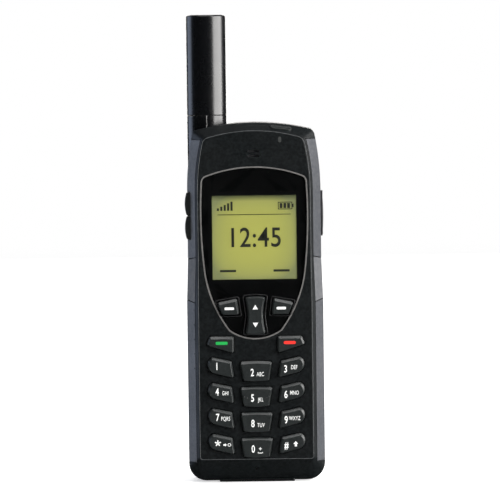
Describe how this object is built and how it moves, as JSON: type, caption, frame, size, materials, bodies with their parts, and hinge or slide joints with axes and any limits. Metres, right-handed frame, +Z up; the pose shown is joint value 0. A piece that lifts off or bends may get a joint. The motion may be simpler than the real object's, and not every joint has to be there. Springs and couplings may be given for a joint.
{
  "type": "satellite phone",
  "caption": "Handheld satellite phone with keypad, small display, side keys, battery and a thick extending antenna that swivels and tilts.",
  "frame": {"origin": "middle of the face the phone stands on", "axes": "+Z up the phone's long side, keys face -Y, +X to the right of someone facing the keys"},
  "size_m": [0.055, 0.03, 0.1859],
  "materials": {
    "housing_black": "fine matte texture",
    "rail_grey": "satin",
    "grip_rubber": "matte",
    "lens_clear": "polished",
    "lens_black": "gloss",
    "trim_metal": "satin",
    "lcd_green": "matte film",
    "steel": "brushed",
    "key_grey": "satin",
    "board_green": "solder mask",
    "battery_label": "satin",
    "gold_contact": "plated",
    "legend_white": "printed",
    "call_green": "printed",
    "call_red": "printed",
    "lcd_ink": "display segment",
    "soft_rubber": "matte",
    "antenna_black": "satin"
  },
  "bodies": {
    "root": {"base_connector": "lens_black", "battery_contacts": "gold_contact", "battery_pack": "battery_label", "card_holder": "steel", "display_lens": "lens_clear", "earpiece_speaker": "steel", "front_housing": "housing_black", "grip_insert_left": "grip_rubber", "grip_insert_right": "grip_rubber", "headset_jack": "lens_black", "housing_gasket": "soft_rubber", "housing_screws": "steel", "keypad_board": "board_green", "keypad_mat": "soft_rubber", "lcd_frame": "steel", "lcd_panel": "lcd_green", "lens_mask": "lens_black", "lens_trim": "trim_metal", "loudspeaker": "steel", "main_board": "board_green", "microphone": "steel", "rail_lower_left": "rail_grey", "rail_lower_right": "rail_grey", "rail_upper_left": "rail_grey", "rail_upper_right": "rail_grey", "rear_housing": "housing_black", "rf_shield": "steel", "snap_domes": "steel", "status_light_pipe": "lens_clear"},
    "key_1": {"key_1": "key_grey"},
    "key_2": {"key_2": "key_grey"},
    "key_3": {"key_3": "key_grey"},
    "key_4": {"key_4": "key_grey"},
    "key_5": {"key_5": "key_grey"},
    "key_6": {"key_6": "key_grey"},
    "key_7": {"key_7": "key_grey"},
    "key_8": {"key_8": "key_grey"},
    "key_9": {"key_9": "key_grey"},
    "key_star": {"key_star": "key_grey"},
    "key_0": {"key_0": "key_grey"},
    "key_hash": {"key_hash": "key_grey"},
    "key_send": {"key_send": "key_grey"},
    "key_end": {"key_end": "key_grey"},
    "soft_key_left": {"soft_key_left": "key_grey"},
    "soft_key_right": {"soft_key_right": "key_grey"},
    "nav_rocker": {"nav_rocker": "key_grey"},
    "volume_up_key": {"volume_up_key": "key_grey"},
    "volume_down_key": {"volume_down_key": "key_grey"},
    "power_key": {"power_key": "key_grey"},
    "battery_cover": {"battery_cover": "housing_black"},
    "battery_latch": {"battery_latch": "key_grey"},
    "side_socket_cover": {"side_socket_cover": "soft_rubber"},
    "base_socket_cover": {"base_socket_cover": "soft_rubber"},
    "antenna_carriage": {"antenna_carriage": "antenna_black"},
    "antenna_post": {"antenna_post": "antenna_black", "antenna_hinge_pin": "steel"},
    "antenna_head": {"antenna_knuckle": "antenna_black", "antenna_sheath": "antenna_black", "antenna_core": "gold_contact"}
  },
  "joints": [
    {"name": "press_key_1", "type": "slide", "parent": "root", "child": "key_1", "axis": [0, 1, 0], "range_m": [0, 0.0005], "stiffness_N_per_m": 400},
    {"name": "press_key_2", "type": "slide", "parent": "root", "child": "key_2", "axis": [0, 1, 0], "range_m": [0, 0.0005], "stiffness_N_per_m": 400},
    {"name": "press_key_3", "type": "slide", "parent": "root", "child": "key_3", "axis": [0, 1, 0], "range_m": [0, 0.0005], "stiffness_N_per_m": 400},
    {"name": "press_key_4", "type": "slide", "parent": "root", "child": "key_4", "axis": [0, 1, 0], "range_m": [0, 0.0005], "stiffness_N_per_m": 400},
    {"name": "press_key_5", "type": "slide", "parent": "root", "child": "key_5", "axis": [0, 1, 0], "range_m": [0, 0.0005], "stiffness_N_per_m": 400},
    {"name": "press_key_6", "type": "slide", "parent": "root", "child": "key_6", "axis": [0, 1, 0], "range_m": [0, 0.0005], "stiffness_N_per_m": 400},
    {"name": "press_key_7", "type": "slide", "parent": "root", "child": "key_7", "axis": [0, 1, 0], "range_m": [0, 0.0005], "stiffness_N_per_m": 400},
    {"name": "press_key_8", "type": "slide", "parent": "root", "child": "key_8", "axis": [0, 1, 0], "range_m": [0, 0.0005], "stiffness_N_per_m": 400},
    {"name": "press_key_9", "type": "slide", "parent": "root", "child": "key_9", "axis": [0, 1, 0], "range_m": [0, 0.0005], "stiffness_N_per_m": 400},
    {"name": "press_key_star", "type": "slide", "parent": "root", "child": "key_star", "axis": [0, 1, 0], "range_m": [0, 0.0005], "stiffness_N_per_m": 400},
    {"name": "press_key_0", "type": "slide", "parent": "root", "child": "key_0", "axis": [0, 1, 0], "range_m": [0, 0.0005], "stiffness_N_per_m": 400},
    {"name": "press_key_hash", "type": "slide", "parent": "root", "child": "key_hash", "axis": [0, 1, 0], "range_m": [0, 0.0005], "stiffness_N_per_m": 400},
    {"name": "press_key_send", "type": "slide", "parent": "root", "child": "key_send", "axis": [0, 1, 0], "range_m": [0, 0.0005], "stiffness_N_per_m": 400},
    {"name": "press_key_end", "type": "slide", "parent": "root", "child": "key_end", "axis": [0, 1, 0], "range_m": [0, 0.0005], "stiffness_N_per_m": 400},
    {"name": "press_soft_key_left", "type": "slide", "parent": "root", "child": "soft_key_left", "axis": [0, 1, 0], "range_m": [0, 0.0005], "stiffness_N_per_m": 400},
    {"name": "press_soft_key_right", "type": "slide", "parent": "root", "child": "soft_key_right", "axis": [0, 1, 0], "range_m": [0, 0.0005], "stiffness_N_per_m": 400},
    {"name": "rock_nav_rocker", "type": "hinge", "parent": "root", "child": "nav_rocker", "pos_m": [0, -0.0121, 0.0667], "axis": [1, 0, 0], "range_deg": [-4, 4], "stiffness_Nm_per_rad": 0.01},
    {"name": "press_volume_up_key", "type": "slide", "parent": "root", "child": "volume_up_key", "axis": [1, 0, 0], "range_m": [0, 0.0005], "stiffness_N_per_m": 400},
    {"name": "press_volume_down_key", "type": "slide", "parent": "root", "child": "volume_down_key", "axis": [1, 0, 0], "range_m": [0, 0.0005], "stiffness_N_per_m": 400},
    {"name": "press_power_key", "type": "slide", "parent": "root", "child": "power_key", "axis": [-0.1097, 0.3476, -0.9312], "range_m": [0, 0.0004], "stiffness_N_per_m": 400},
    {"name": "slide_battery_latch", "type": "slide", "parent": "root", "child": "battery_latch", "axis": [0, 0, 1], "range_m": [0, 0.002], "stiffness_N_per_m": 200},
    {"name": "slide_battery_cover", "type": "slide", "parent": "root", "child": "battery_cover", "axis": [0, 0, -1], "range_m": [0, 0.008]},
    {"name": "open_side_cover", "type": "hinge", "parent": "root", "child": "side_socket_cover", "pos_m": [0.02707, 0.0074, 0.10645], "axis": [0, 0, 1], "range_deg": [0, 110]},
    {"name": "open_base_cover", "type": "hinge", "parent": "root", "child": "base_socket_cover", "pos_m": [0, 0.0086, 0.0005], "axis": [1, 0, 0], "range_deg": [0, 100]},
    {"name": "antenna_slide", "type": "slide", "parent": "root", "child": "antenna_carriage", "axis": [0, 0, 1], "range_m": [-0.0425, 0]},
    {"name": "antenna_swivel", "type": "hinge", "parent": "antenna_carriage", "child": "antenna_post", "pos_m": [-0.0184, 0.0066, 0.121], "axis": [0, 0, 1], "range_deg": [0, 90]},
    {"name": "antenna_tilt", "type": "hinge", "parent": "antenna_post", "child": "antenna_head", "pos_m": [-0.0184, 0.0066, 0.1375], "axis": [-1, 0, 0], "range_deg": [0, 45]}
  ]
}
